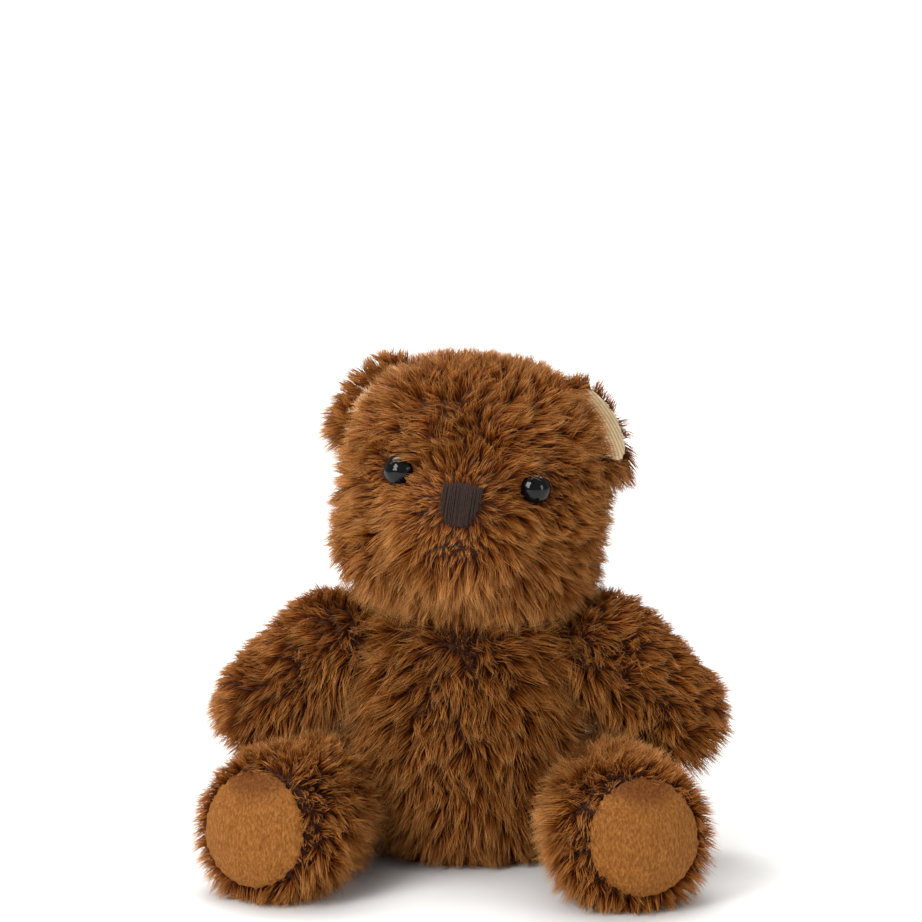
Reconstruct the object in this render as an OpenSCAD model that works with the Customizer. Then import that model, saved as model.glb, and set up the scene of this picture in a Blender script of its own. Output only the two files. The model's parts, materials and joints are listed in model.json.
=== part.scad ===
// Jointed teddy bear, sitting. Millimetres, +Z up, +X to the bear's left hand side,
// the bear looks along -Y. The origin is the middle of the seat, on the surface it sits on.

/* [Torso] */
// Widest radius of the torso under the plush
torso_r = 45; // [44.5:0.5:45.5]
// Height of the widest part of the torso
torso_mid = 42; // [41.5:0.5:42.5]
// Height of the torso above its widest part
torso_up = 68; // [67:0.5:69]
// Depth of the torso below its widest part
torso_down = 48; // [47:0.5:49]

/* [Head] */
// Widest radius of the head
head_r = 50.5; // [50:0.5:51]
// Height of the widest part of the head above the neck
head_mid = 48; // [47.5:0.5:48.5]
// Height of the head above its widest part
head_up = 51; // [50:0.5:52]
// Depth of the head below its widest part
head_down = 52; // [51.5:0.5:52.5]
// Sideways tilt of the head in degrees
head_tilt = 7; // [4:0.5:8]
// Radius of the rounded muzzle
muzzle_r = 26; // [25:0.5:26.5]
// How far the middle of the muzzle lies in front of the neck
muzzle_out = 38; // [37:0.5:39]
// Height of the middle of the muzzle above the neck
muzzle_z = 39; // [38:0.5:40]
// Half the width of the centre strip that runs over the head
gusset_half = 15; // [13:0.5:16]

/* [Ears] */
// Radius of an ear's outline
ear_r = 18; // [17.5:0.5:18.5]
// Radius of the linen lining in an ear
lining_r = 16.8; // [16:0.2:17]
// Distance of an ear's middle from the middle of the head
ear_x = 44; // [43.5:0.5:45]
// Height of an ear's middle above the neck
ear_z = 76; // [75:0.5:77]
// How far an ear faces outwards, in degrees
ear_turn = 60; // [56:1:62]
// How far an ear faces upwards, in degrees
ear_lift = 32; // [28:1:34]

/* [Face] */
// Diameter of a safety eye
eye_d = 13.5; // [13:0.5:13.5]
// How far an eye's dome stands out
eye_dome = 5.5; // [5:0.5:6]
// Width of the stitched nose
nose_w = 17.6; // [16:0.2:18]
// Height of the stitched nose
nose_h = 16.5; // [15:0.5:17]

/* [Arms] */
// Radius of an arm at the shoulder
arm_r = 23.5; // [23.5:0.5:24]
// Radius of an arm at the hand
hand_r = 20.5; // [20:0.5:20.5]
// Forward swing of the arms in degrees
arm_swing = 6; // [5:0.5:7]

/* [Legs] */
// Radius of a leg at the hip
thigh_r = 18.5; // [18.2:0.1:18.5]
// Radius of a leg at the foot
foot_r = 27.5; // [27:0.5:28]
// Radius of the round opening that the sole pad fills
sole_r = 20; // [19:0.5:20]

/* [Joints] */
// Radius of the neck joint's discs
neck_disc_r = 15; // [14:0.5:15]
// Radius of the shoulder joints' discs
shoulder_disc_r = 10; // [9:0.5:10]
// Radius of the hip joints' discs
hip_disc_r = 10.6; // [10:0.2:10.6]
// Radius of a joint stud's stem
stem_r = 3; // [2.8:0.1:3]
// Clearance between a stem and the disc that turns on it
turn_gap = 0.05; // [0.03:0.01:0.08]

/* [Fabric] */
// Thickness of the plush backing with its pile pressed flat
skin_t = 3; // [2.8:0.1:3]

/* [Hidden] */
$fa = 4;
$fs = 0.6;
sides = ["right", "left"];
joints = ["neck", "shoulder_left", "shoulder_right", "hip_left", "hip_right"];

plush = "#8a5a32";
velboa = "#b07838";
linen = "#d9c3a4";
stuffing = "#f2efe8";
nylon = "#e9e6dc";
black = "#0b0b0c";
thread = "#2b1710";

far = 400;                     // larger than anything on the bear
fill_inset = skin_t + 0.3;     // the filling stays this far inside the outer surface
joint_gap = 0.2;               // each skin stops this far short of its joint's plane
oval_steps = 26;               // straight bands in a half outline

// Neck, shoulder and hip pivots
neck_at = [-4, 0, 103];
shoulder_at = [36.5, 0, 79];   // for the left side; the right one mirrors it
shoulder_lean = 70;            // tilt of a shoulder axis away from vertical
hip_plane = 36.2;              // distance of a hip joint's plane from the torso's axis
hip_turn = 12;                 // a hip axis points this far backwards
hip_forward = 4;               // the hip pivot sits this far towards the knee
hip_z = 27;
hip_relief_top = 54;           // the torso is flattened beside the legs up to here
hip_relief_r = 42;             // and the leg is flattened this far round its pivot

// Arm centreline, in the shoulder's own axes: down the arm, and outwards
arm_top = [2, 19.5];
arm_end = [34, 38];
// Leg centreline, from hip to foot
thigh_at = [49.7, 6.5, hip_z];
foot_at = [67.9, -81.3, hip_z];
sole_plane = 15;               // flat of the foot, from the foot's centre
sole_turn = 24;                // a sole faces outwards by this angle
sole_lift = 8;                 // and upwards by this one
sole_dome = 5;                 // crown of a sole pad
sole_cap_r = 22.4;

// Doll joint: two discs, a stem between them and a ring that locks the stem
disc_t = 2.5;
disc_z = skin_t + joint_gap + 0.05;
ring_gap = 0.1;
ring_t = 2.5;
ring_r = 7.5;
ring_bore_gap = 0.02;
stem_end = disc_z + disc_t + ring_gap + ring_t + 2.05;
skin_hole_r = stem_r + 0.6;
pocket_gap = 0.4;

// Ears: shallow cups
ear_cup_r = 36;
ear_cup_z = 31;
ear_wall = 4;
lining_t = 1.3;
ear_y = 3;

// Eyes
eye_turn = 32.5;
eye_out = 50.4;
eye_z = 55;
eye_r = eye_d / 2;
eye_stem_r = 1.7;
eye_stem_len = 8;
washer_r = 5.5;
washer_t = 1.6;
washer_z = -skin_t - 1;

// Nose and mouth
nose_up = 18;
nose_taper = 0.19;
nose_t = 2.2;
mouth_down = 15;
mouth_slope = 24;
mouth_angle = 19;
mouth_r = 0.45;

function side_of(name) = name == "left" ? 1 : -1;
function power(x, e) = sign(x) * pow(abs(x), e);

// Half outline of an upright oval whose fullness grows with p
function oval(r, up, down, p) = [
    for (i = [0 : oval_steps])
        let (a = -90 + 180 * i / oval_steps)
            [r * pow(max(cos(a), 0), 2 / p), (a < 0 ? down : up) * power(sin(a), 2 / p)]
];

// Half outline of two balls of radius a and b, length apart, with a straight side between
function limb_outline(a, b, length) =
    let (lean = asin((a - b) / length), n = 10)
        concat(
            [for (i = [0 : n]) let (t = -90 + (90 + lean) * i / n) [a * max(cos(t), 0), a * sin(t)]],
            [for (i = [0 : n]) let (t = lean + (90 - lean) * i / n) [b * max(cos(t), 0), length + b * sin(t)]]
        );

module neck_frame() { translate(neck_at) rotate([0, head_tilt, 0]) children(); }

module shoulder_frame(side) {
    translate([side * shoulder_at[0], shoulder_at[1], shoulder_at[2]])
        rotate([0, side * shoulder_lean, 0]) children();
}

module hip_frame(side) {
    rotate([0, 0, side * hip_turn])
        translate([side * hip_plane, -hip_forward, hip_z])
            rotate([0, side * 90, 0]) children();
}

module sole_frame(side) {
    translate([side * foot_at[0], foot_at[1], foot_at[2]])
        rotate([0, 0, side * sole_turn])
            rotate([90 - sole_lift, 0, 0]) children();
}

module eye_frame(side) {
    rotate([0, 0, side * eye_turn])
        translate([0, -eye_out, eye_z])
            rotate([90, 0, 0]) children();
}

// A block that fills everything above height z
module above(z) { translate([-far / 2, -far / 2, z]) cube([far, far, far]); }

// A block that fills everything below height z
module below(z) { translate([-far / 2, -far / 2, z - far]) cube([far, far, far]); }

// ---- torso ----
module torso_form(inset) {
    difference() {
        translate([0, 0, torso_mid])
            rotate_extrude()
                polygon(oval(torso_r - inset, torso_up - inset, torso_down - inset, 2.4));
        below(inset);
        neck_frame() above(-joint_gap - inset);
        for (side = [-1, 1]) {
            shoulder_frame(side) above(-joint_gap - inset);
            hip_relief(side, inset);
        }
    }
}

// What is taken off the torso beside a leg
module hip_relief(side, inset) {
    rotate([0, 0, side * hip_turn])
        translate([side > 0 ? hip_plane - joint_gap - inset : -far - hip_plane + joint_gap + inset,
                   -far / 2, -far + hip_relief_top + inset])
            cube([far, far, far]);
}

module torso_skin() {
    difference() {
        torso_form(0);
        torso_form(skin_t);
        neck_frame() stem_hole();
        for (side = [-1, 1]) {
            shoulder_frame(side) stem_hole();
            hip_frame(side) stem_hole();
        }
    }
}

torso_seam_y = 8;

module torso_front_panel() {
    color(plush) difference() {
        torso_skin();
        translate([-far / 2, torso_seam_y, -far / 2]) cube([far, far, far]);
    }
}

module torso_back_panel() {
    color(plush) difference() {
        torso_skin();
        translate([-far / 2, torso_seam_y - far, -far / 2]) cube([far, far, far]);
    }
}

module torso_filling() {
    color(stuffing) difference() {
        torso_form(fill_inset);
        neck_frame() hardware_pocket(-1, neck_disc_r);
        for (side = [-1, 1]) {
            shoulder_frame(side) hardware_pocket(-1, shoulder_disc_r);
            hip_frame(side) hardware_pocket(-1, hip_disc_r);
        }
    }
}

// ---- joint hardware, in a joint's own axes: +Z points from the torso into the head or limb ----
module stem_hole() { translate([0, 0, -10]) cylinder(r = skin_hole_r, h = 20); }

// Room in a filling: way is 1 in the head or limb and -1 in the torso
module hardware_pocket(way, disc_r) {
    disc_end = disc_z + disc_t + 0.3;
    ring_end = disc_end + ring_gap + ring_t;
    rotate([way > 0 ? 0 : 180, 0, 0]) {
        cylinder(r = disc_r + pocket_gap, h = disc_end);
        if (way < 0) {
            cylinder(r = ring_r + pocket_gap, h = ring_end);
            cylinder(r = stem_r + pocket_gap, h = stem_end + 0.3);
        }
    }
}

module stud(disc_r) {
    color(nylon) rotate_extrude()
        polygon([
            [0, -stem_end], [stem_r, -stem_end], [stem_r, disc_z], [disc_r, disc_z],
            [disc_r, disc_z + disc_t], [0, disc_z + disc_t]
        ]);
}

module turning_disc(disc_r) {
    color(nylon) translate([0, 0, -disc_z - disc_t]) difference() {
        cylinder(r = disc_r, h = disc_t);
        translate([0, 0, -1]) cylinder(r = stem_r + turn_gap, h = disc_t + 2);
    }
}

module lock_ring() {
    color(nylon) translate([0, 0, -disc_z - disc_t - ring_gap - ring_t]) difference() {
        cylinder(r = ring_r, h = ring_t);
        translate([0, 0, -1]) cylinder(r = stem_r + ring_bore_gap, h = ring_t + 2);
    }
}

function disc_radius(name) =
    name == "neck" ? neck_disc_r : name[0] == "s" ? shoulder_disc_r : hip_disc_r;

module joint_frame(name) {
    if (name == "neck") neck_frame() children();
    if (name == "shoulder_left") shoulder_frame(1) children();
    if (name == "shoulder_right") shoulder_frame(-1) children();
    if (name == "hip_left") hip_frame(1) children();
    if (name == "hip_right") hip_frame(-1) children();
}

// ---- head, in the neck's axes ----
module head_form(inset) {
    difference() {
        union() {
            translate([0, 0, head_mid])
                rotate_extrude()
                    polygon(oval(head_r - inset, head_up - inset, head_down - inset, 2.5));
            translate([0, -muzzle_out, muzzle_z]) sphere(r = muzzle_r - inset);
        }
        below(joint_gap + inset);
    }
}

module head_skin() {
    difference() {
        head_form(0);
        head_form(skin_t);
        stem_hole();
        for (side = [-1, 1])
            eye_frame(side) {
                translate([0, 0, -12]) cylinder(r = eye_stem_r + 0.3, h = 14);
                translate([0, 0, 0.05]) cylinder(r = eye_r + 0.25, h = 10);
            }
    }
}

module head_gusset() {
    color(plush) neck_frame() intersection() {
        head_skin();
        translate([-gusset_half, -far / 2, -far / 2]) cube([2 * gusset_half, far, far]);
    }
}

module head_side(side) {
    color(plush) neck_frame() intersection() {
        head_skin();
        translate([side > 0 ? gusset_half : -far - gusset_half, -far / 2, -far / 2])
            cube([far, far, far]);
    }
}

module head_filling() {
    color(stuffing) neck_frame() difference() {
        head_form(fill_inset);
        hardware_pocket(1, neck_disc_r);
        for (side = [-1, 1])
            eye_frame(side) translate([0, 0, -eye_stem_len - 0.5])
                cylinder(r = washer_r + pocket_gap, h = eye_stem_len);
    }
}

module ear_frame(side) {
    neck_frame() translate([side * ear_x, ear_y, ear_z])
        rotate([0, 0, side * ear_turn]) rotate([90 - ear_lift, 0, 0]) children();
}

// A shallow cup between two balls, cut to a round outline
module ear_cup(outer, inner, outline) {
    translate([0, 0, ear_cup_z]) intersection() {
        difference() {
            sphere(r = outer);
            sphere(r = inner);
        }
        translate([0, 0, -ear_cup_r - 1]) cylinder(r = outline, h = ear_cup_r + 1);
    }
}

module ear_back(side) {
    color(plush) difference() {
        ear_frame(side) ear_cup(ear_cup_r, ear_cup_r - ear_wall, ear_r);
        neck_frame() head_form(-0.2);
    }
}

module ear_lining(side) {
    lining_outer = ear_cup_r - ear_wall - 0.1;
    color(linen) difference() {
        ear_frame(side) ear_cup(lining_outer, lining_outer - lining_t, lining_r);
        neck_frame() head_form(-0.2);
    }
}

module eye(side) {
    ball_r = (eye_r * eye_r + eye_dome * eye_dome) / (2 * eye_dome);
    rim = asin((ball_r - eye_dome) / ball_r);
    arc_steps = 12;
    dome = [
        for (i = [0 : arc_steps])
            let (t = rim + (90 - rim) * i / arc_steps)
                [ball_r * max(cos(t), 0), eye_dome - ball_r + ball_r * sin(t) + 0.1]
    ];
    color(black) neck_frame() eye_frame(side) rotate_extrude()
        polygon(concat([[0, -eye_stem_len], [eye_stem_r, -eye_stem_len], [eye_stem_r, 0.1]], dome));
}

module eye_washer(side) {
    color(nylon) neck_frame() eye_frame(side) translate([0, 0, washer_z - washer_t]) difference() {
        cylinder(r = washer_r, h = washer_t);
        translate([0, 0, -1]) cylinder(r = eye_stem_r + 0.02, h = washer_t + 2);
    }
}

// The nose's outline: wide and flat at the top, narrower and rounder at the bottom
function shield(w, h) = [
    for (a = [0 : 12 : 348])
        let (up = power(sin(a), 0.62), across = power(cos(a), 0.7))
            [w / 2 * across * (1 - nose_taper * (1 - up)), h / 2 * up]
];

module nose_stitching() {
    color(thread) neck_frame() translate([0, -muzzle_out, muzzle_z])
        rotate([90 - nose_up, 0, 0]) intersection() {
            difference() {
                sphere(r = muzzle_r + nose_t);
                sphere(r = muzzle_r + 0.05);
            }
            linear_extrude(height = 2 * muzzle_r) polygon(shield(nose_w, nose_h));
        }
}

module mouth_stitching() {
    color(thread) neck_frame() translate([0, -muzzle_out, muzzle_z])
        rotate([mouth_down, 0, 0])
            for (side = [-1, 1])
                rotate([0, side > 0 ? mouth_slope : 180 - mouth_slope, 0])
                    rotate([0, 0, -92])
                        rotate_extrude(angle = mouth_angle + 2)
                            translate([muzzle_r + mouth_r + 0.05, 0]) circle(r = mouth_r);
}

// ---- arms ----
module arm_axis(side) {
    run = arm_end - arm_top;
    rotate([0, 0, -side * arm_swing])
        translate([side * arm_top[0], 0, arm_top[1]])
            rotate([0, side * atan2(run[0], run[1]), 0]) children();
}

module arm_form(side, inset) {
    difference() {
        arm_axis(side) rotate_extrude()
            polygon(limb_outline(arm_r - inset, hand_r - inset, norm(arm_end - arm_top)));
        below(joint_gap + inset);
    }
}

// Part is 1 for the outer panel and -1 for the inner one, which faces the torso
module arm_panel(side, part) {
    color(plush) shoulder_frame(side) difference() {
        arm_form(side, 0);
        arm_form(side, skin_t);
        stem_hole();
        arm_axis(side) translate([side * part > 0 ? 0 : -far, -far / 2, -far / 2])
            cube([far, far, far]);
    }
}

module arm_filling(side) {
    color(stuffing) shoulder_frame(side) difference() {
        arm_form(side, fill_inset);
        hardware_pocket(1, shoulder_disc_r);
    }
}

// ---- legs ----
module leg_axis(side) {
    run = foot_at - thigh_at;
    translate([side * thigh_at[0], thigh_at[1], thigh_at[2]])
        rotate([90, 0, side * atan2(run[0], -run[1])]) children();
}

module leg_form(side, inset) {
    difference() {
        leg_axis(side) rotate_extrude()
            polygon(limb_outline(thigh_r - inset, foot_r - inset, norm(foot_at - thigh_at)));
        below(inset);
        hip_frame(side) translate([0, 0, joint_gap + inset - far])
            cylinder(r = hip_relief_r + inset, h = far, $fa = 2);
        sole_frame(side) above(sole_plane - inset);
    }
}

module leg_skin(side) {
    difference() {
        leg_form(side, 0);
        leg_form(side, skin_t);
        hip_frame(side) stem_hole();
        sole_frame(side) cylinder(r = sole_r, h = far);
    }
}

module leg_panel(side, part) {
    color(plush) difference() {
        leg_skin(side);
        leg_axis(side) translate([side * part > 0 ? -far : 0, -far / 2, -far / 2])
            cube([far, far, far]);
    }
}

module leg_filling(side) {
    color(stuffing) difference() {
        leg_form(side, fill_inset);
        hip_frame(side) hardware_pocket(1, hip_disc_r);
    }
}

module leg_sole(side) {
    arc_steps = 12;
    ball_r = (sole_cap_r * sole_cap_r + sole_dome * sole_dome) / (2 * sole_dome);
    rim = acos(sole_cap_r / ball_r);
    cap = [
        for (i = [0 : arc_steps])
            let (t = rim + (90 - rim) * i / arc_steps)
                [ball_r * max(cos(t), 0), sole_plane + 0.05 + sole_dome - ball_r + ball_r * sin(t)]
    ];
    plug_r = sole_r - 0.2;
    color(velboa) sole_frame(side) rotate_extrude()
        polygon(concat(
            [[0, sole_plane - skin_t], [plug_r, sole_plane - skin_t], [plug_r, sole_plane + 0.05]],
            cap));
}

torso_front_panel();
torso_back_panel();
torso_filling();
head_gusset();
head_filling();
nose_stitching();
mouth_stitching();
for (name = sides) {
    head_side(side_of(name));
    ear_back(side_of(name));
    ear_lining(side_of(name));
    eye(side_of(name));
    eye_washer(side_of(name));
    arm_panel(side_of(name), -1);
    arm_panel(side_of(name), 1);
    arm_filling(side_of(name));
    leg_panel(side_of(name), 1);
    leg_panel(side_of(name), -1);
    leg_filling(side_of(name));
    leg_sole(side_of(name));
}
for (name = joints) {
    joint_frame(name) stud(disc_radius(name));
    joint_frame(name) turning_disc(disc_radius(name));
    joint_frame(name) lock_ring();
}
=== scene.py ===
# %% [markdown]
# # A jointed teddy bear
# The bear is a sewn skin of long-pile plush, stuffed hard, with five disc joints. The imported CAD
# model is the fixed frame: it says where every panel, eye and joint is. This script grows the plush
# on it, sews the face and gives each material its finish.

# %% The frame, and what everything else is measured from
import bpy
import json
import math
import numpy as np
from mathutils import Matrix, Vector
from mathutils.bvhtree import BVHTree


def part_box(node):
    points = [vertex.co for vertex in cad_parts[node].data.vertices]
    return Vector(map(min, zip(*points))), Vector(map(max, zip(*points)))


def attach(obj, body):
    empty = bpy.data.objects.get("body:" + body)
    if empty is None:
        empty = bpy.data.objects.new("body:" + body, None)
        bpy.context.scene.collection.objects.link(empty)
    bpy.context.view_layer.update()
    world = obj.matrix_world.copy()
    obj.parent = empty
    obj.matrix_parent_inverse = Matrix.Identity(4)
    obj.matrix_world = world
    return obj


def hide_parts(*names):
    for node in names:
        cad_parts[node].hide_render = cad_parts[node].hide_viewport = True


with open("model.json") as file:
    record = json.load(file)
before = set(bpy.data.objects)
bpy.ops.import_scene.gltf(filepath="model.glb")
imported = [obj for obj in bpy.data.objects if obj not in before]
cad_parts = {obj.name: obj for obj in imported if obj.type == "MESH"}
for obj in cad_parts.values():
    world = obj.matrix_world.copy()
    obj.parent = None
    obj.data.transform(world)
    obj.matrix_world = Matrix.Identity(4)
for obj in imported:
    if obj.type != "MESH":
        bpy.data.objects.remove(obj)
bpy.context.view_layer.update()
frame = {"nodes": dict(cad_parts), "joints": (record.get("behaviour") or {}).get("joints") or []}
nodes = frame["nodes"]
joints = {joint["name"]: joint for joint in frame["joints"]}
MM = 0.001

# %% [markdown]
# ## Small helpers
# One function turns a hex colour, which is sRGB, into the linear colour that shaders want. One adds
# a node to a tree with its settings and links, for materials and geometry alike. Every cloth and
# plastic here gets its colour, its gloss and a fine relief, so one function joins those up.

# %% Helpers for objects, colours and nodes
def put(name, data):
    """A new object in the scene."""
    thing = bpy.data.objects.new(name, data)
    bpy.context.scene.collection.objects.link(thing)
    return thing


def hex_color(text):
    channels = [int(text[i : i + 2], 16) / 255 for i in (1, 3, 5)]
    linear = [c / 12.92 if c <= 0.04045 else ((c + 0.055) / 1.055) ** 2.4 for c in channels]
    return (*linear, 1.0)


def add(tree, kind, sockets=None, **settings):
    node = tree.nodes.new(kind)
    for name, value in settings.items():
        setattr(node, name, value)
    for key, value in (sockets or {}).items():
        if isinstance(value, bpy.types.NodeSocket):
            tree.links.new(value, node.inputs[key])
        else:
            node.inputs[key].default_value = value
    return node


def new_material(name):
    material = bpy.data.materials.new(name)
    material.use_nodes = True
    tree = material.node_tree
    return material, tree, tree.nodes["Principled BSDF"]


def color_ramp(tree, factor, stops):
    ramp = add(tree, "ShaderNodeValToRGB", {"Fac": factor})
    elements = ramp.color_ramp.elements
    while len(elements) < len(stops):
        elements.new(0.5)
    for element, (position, color) in zip(elements, stops):
        element.position = position
        element.color = hex_color(color)
    return ramp.outputs["Color"]


def dress(tree, shader, color, settings, relief=None):
    """Joins a colour to the shader, sets its other values, and adds a relief of (height, strength, mm)."""
    tree.links.new(color, shader.inputs["Base Color"])
    for name, value in settings.items():
        shader.inputs[name].default_value = value
    if relief:
        height, strength, depth = relief
        bump = add(tree, "ShaderNodeBump", {"Height": height, "Strength": strength, "Distance": depth * MM})
        tree.links.new(bump.outputs[0], shader.inputs["Normal"])


# %% [markdown]
# ## Camera
# A product picture of a small toy: a 100 mm lens a metre away, a little above the eyes' height and
# looking slightly down. A long lens keeps the feet, which are nearest, from looking too big.

# %% Camera
camera_data = bpy.data.cameras.new("camera")
camera_data.lens = 100
camera_data.sensor_width = 36
camera = put("camera", camera_data)
bpy.context.scene.camera = camera
look_down, turn, distance = math.radians(5.5), math.radians(5), 1.047
across = Vector((math.cos(turn), math.sin(turn), 0))
towards_camera = Vector((
    math.sin(turn) * math.cos(look_down),
    -math.cos(turn) * math.cos(look_down),
    math.sin(look_down),
))
aim = across * (-3.3 * MM) + Vector((0, 0, 161 * MM))
camera.location = aim + towards_camera * distance
camera.rotation_euler = (-towards_camera).to_track_quat("-Z", "Y").to_euler()
camera_data.clip_start = 0.05
print("camera at", [round(v, 3) for v in camera.location])

# %% [markdown]
# ## Plush pile
# Plush of this kind is knitted polyester with a pile about 12 mm long, dyed in the fibre. Light
# reaches the tips and gets lost among the roots, so each strand's colour runs from a root darkened
# as painted shade to a golden tip. Neighbouring locks differ a little in shade, as crimped fibre
# does. The strands carry two attributes: how far along the strand a point is, and a shade picked for the
# strand.

# %% Pile and backing materials
def pile_material():
    # polyester pile: painted shade darkens the colour at the root, straw gold at the tip, a soft gloss all
    # along
    material, tree, shader = new_material("plush_pile_polyester")
    along = add(tree, "ShaderNodeAttribute", attribute_name="along").outputs["Fac"]
    tone = add(tree, "ShaderNodeAttribute", attribute_name="tone").outputs["Fac"]
    # painted shade: the ramp darkens each strand towards its root, where light is lost among the fibres
    root_shade_to_tip = color_ramp(tree, along, [
        (0.0, "#351302"), (0.3, "#713508"), (0.65, "#a05f22"), (1.0, "#dba262"),
    ])
    shade = add(tree, "ShaderNodeMapRange", {0: tone, 1: 0.0, 2: 1.0, 3: 0.55, 4: 1.4}).outputs[0]
    toned = add(tree, "ShaderNodeHueSaturation", {"Color": root_shade_to_tip, "Value": shade}).outputs[0]
    dress(tree, shader, toned, {
        "Roughness": 0.5, "Specular IOR Level": 0.16,
        "Sheen Weight": 0.08, "Sheen Roughness": 0.4, "Sheen Tint": hex_color("#e0a060"),
    })
    return material


def backing_material():
    # a knitted ground cloth, seen only where the pile parts
    material, tree, shader = new_material("plush_backing_knit")
    place = add(tree, "ShaderNodeTexCoord").outputs["Object"]
    knit = add(tree, "ShaderNodeTexVoronoi", {"Vector": place, "Scale": 1 / (1.2 * MM)}).outputs[0]
    color = color_ramp(tree, knit, [(0.0, "#261003"), (1.0, "#552a0e")])
    dress(tree, shader, color, {"Roughness": 0.9}, relief=(knit, 0.4, 0.3))
    return material


pile = pile_material()
backing = backing_material()
print("materials:", pile.name, backing.name)

# %% [markdown]
# ## Skins
# A stuffed skin follows its filling. So each skin is made from the CAD fillings: the solids are
# remeshed into even voxels, which rounds over the sharp creases as stuffing does, then smoothed and
# swelled back out to the size of the plush.

# %% Turn CAD fillings into rounded skins
def cad_copy(names):
    """One mesh object of the named CAD nodes, welded."""
    vertices, faces = [], []
    for name in names:
        mesh = nodes[name].data
        start = len(vertices)
        vertices += [tuple(v.co) for v in mesh.vertices]
        faces += [tuple(start + i for i in p.vertices) for p in mesh.polygons]
    mesh = bpy.data.meshes.new("work")
    mesh.from_pydata(vertices, [], faces)
    work = put("work", mesh)
    weld = work.modifiers.new("weld", "WELD")
    weld.merge_threshold = 0.01 * MM
    return work


def baked(work, name):
    """A plain mesh of what an object's modifiers make. The object itself is removed."""
    graph = bpy.context.evaluated_depsgraph_get()
    mesh = bpy.data.meshes.new_from_object(work.evaluated_get(graph))
    mesh.name = name
    bpy.data.objects.remove(work)
    return mesh


def rounded(names, voxel, passes, name):
    work = cad_copy(names)
    remesh = work.modifiers.new("remesh", "REMESH")
    remesh.mode = "VOXEL"
    remesh.voxel_size = voxel
    smooth = work.modifiers.new("smooth", "SMOOTH")
    smooth.factor = 0.5
    smooth.iterations = passes
    return baked(work, name)


def positions(mesh):
    flat = np.empty(len(mesh.vertices) * 3, np.float32)
    mesh.vertices.foreach_get("co", flat)
    return flat.reshape(-1, 3).astype(float)


def normals(mesh):
    flat = np.empty(len(mesh.vertices) * 3, np.float32)
    mesh.vertex_normals.foreach_get("vector", flat)
    return flat.reshape(-1, 3).astype(float)


def set_positions(mesh, points):
    mesh.vertices.foreach_set("co", points.astype(np.float32).ravel())
    mesh.update()


def values_of(mesh, name, width):
    layer = mesh.attributes[name].data
    flat = np.empty(len(layer) * width, np.float32)
    layer.foreach_get("vector" if width == 3 else "value", flat)
    return flat.reshape(-1, width)


def set_values(mesh, name, values):
    """Stores one number, or one vector, at each vertex."""
    wide = values.ndim == 2 and values.shape[1] == 3
    layer = mesh.attributes.new(name, "FLOAT_VECTOR" if wide else "FLOAT", "POINT")
    layer.data.foreach_set("vector" if wide else "value", values.astype(np.float32).ravel())


def middle(name):
    low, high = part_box(name)
    return np.array((low + high) / 2)


def unit(vectors):
    return vectors / np.maximum(np.linalg.norm(vectors, axis=-1, keepdims=True), 1e-9)


# %% Stuff the skins
def stuffed(mesh, cap, pressure=4.0, frames=20):
    """Blows a closed skin up from inside as cloth; no point moves further than the cap."""
    scene = bpy.context.scene
    start = positions(mesh)
    work = put("work", mesh)
    cloth = work.modifiers.new("cloth", "CLOTH")
    cloth.settings.use_pressure = True
    cloth.settings.uniform_pressure_force = pressure
    cloth.settings.effector_weights.gravity = 0
    cloth.collision_settings.use_collision = False
    for frame_number in range(1, frames + 1):
        scene.frame_set(frame_number)
    result = baked(work, mesh.name)
    scene.frame_set(1)
    move = positions(result) - start
    length = np.linalg.norm(move, axis=1, keepdims=True)
    set_positions(result, start + move * np.minimum(1, cap / np.maximum(length, 1e-9)))
    return result


VOXEL = 2.6 * MM
SWELL = {"torso": 2.6 * MM, "head": 3.0 * MM, "arm": 1.4 * MM, "leg": 2.6 * MM}
skins = {}
for body in ("torso", "head", "arm_left", "arm_right", "leg_left", "leg_right"):
    swell = SWELL[body.split("_")[0]]
    mesh = rounded([body + "_filling"], VOXEL, 8, body + "_skin")
    set_positions(mesh, positions(mesh) + normals(mesh) * swell * 0.6)
    skins[body] = stuffed(mesh, cap=swell)
    print(body, "skin:", len(mesh.polygons), "faces")

# %% [markdown]
# ## Cheeks and muzzle
# Stuffing settles low in a head, and smoothing takes the muzzle off. So the head's skin is filled
# out again in two places, by amounts that fade smoothly to nothing.

# %% Fill out the cheeks and the muzzle
neck_at = np.array(joints["neck_turn"]["pos_m"])
up_head = unit(np.array(joints["neck_turn"]["axis"], float))


CHEEK_HEIGHT, CHEEK_SPREAD, CHEEK_FILL = 14 * MM, 17 * MM, 5.5 * MM
NOSE_HEIGHT, MUZZLE_SPREAD, MUZZLE_FILL = 45 * MM, 17 * MM, 3.2 * MM


def fuller_cheeks(mesh):
    """Pushes the cheeks out sideways just above the neck."""
    points = positions(mesh)
    height = (points - neck_at) @ up_head
    spoke = points - neck_at - height[:, None] * up_head
    low = np.exp(-(((height - CHEEK_HEIGHT) / CHEEK_SPREAD) ** 2))
    sideways = np.abs(unit(spoke)[:, 0]) ** 0.5
    set_positions(mesh, points + unit(spoke) * (CHEEK_FILL * low * sideways)[:, None])


def fuller_muzzle(mesh, tip):
    """Pushes the muzzle forward to meet the back of the nose."""
    points = positions(mesh)
    away = np.linalg.norm(points - tip, axis=1)
    forward = unit(tip - neck_at - up_head * NOSE_HEIGHT)
    near = np.exp(-((away / MUZZLE_SPREAD) ** 2))
    set_positions(mesh, points + forward * (MUZZLE_FILL * near)[:, None])


fuller_cheeks(skins["head"])
fuller_muzzle(skins["head"], middle("nose_stitching"))
print("cheeks filled out by up to", CHEEK_FILL / MM, "mm, the muzzle by up to", MUZZLE_FILL / MM, "mm")

# %% [markdown]
# ## How the pile lies
# Pile never stands straight up. On the face it is brushed outwards from the nose, on the belly down
# and out, on limbs along the limb, and round a sole away from the pad. Each skin vertex gets the
# direction that the pile leans to, how far it leans, and how long and how dense it is there.

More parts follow.
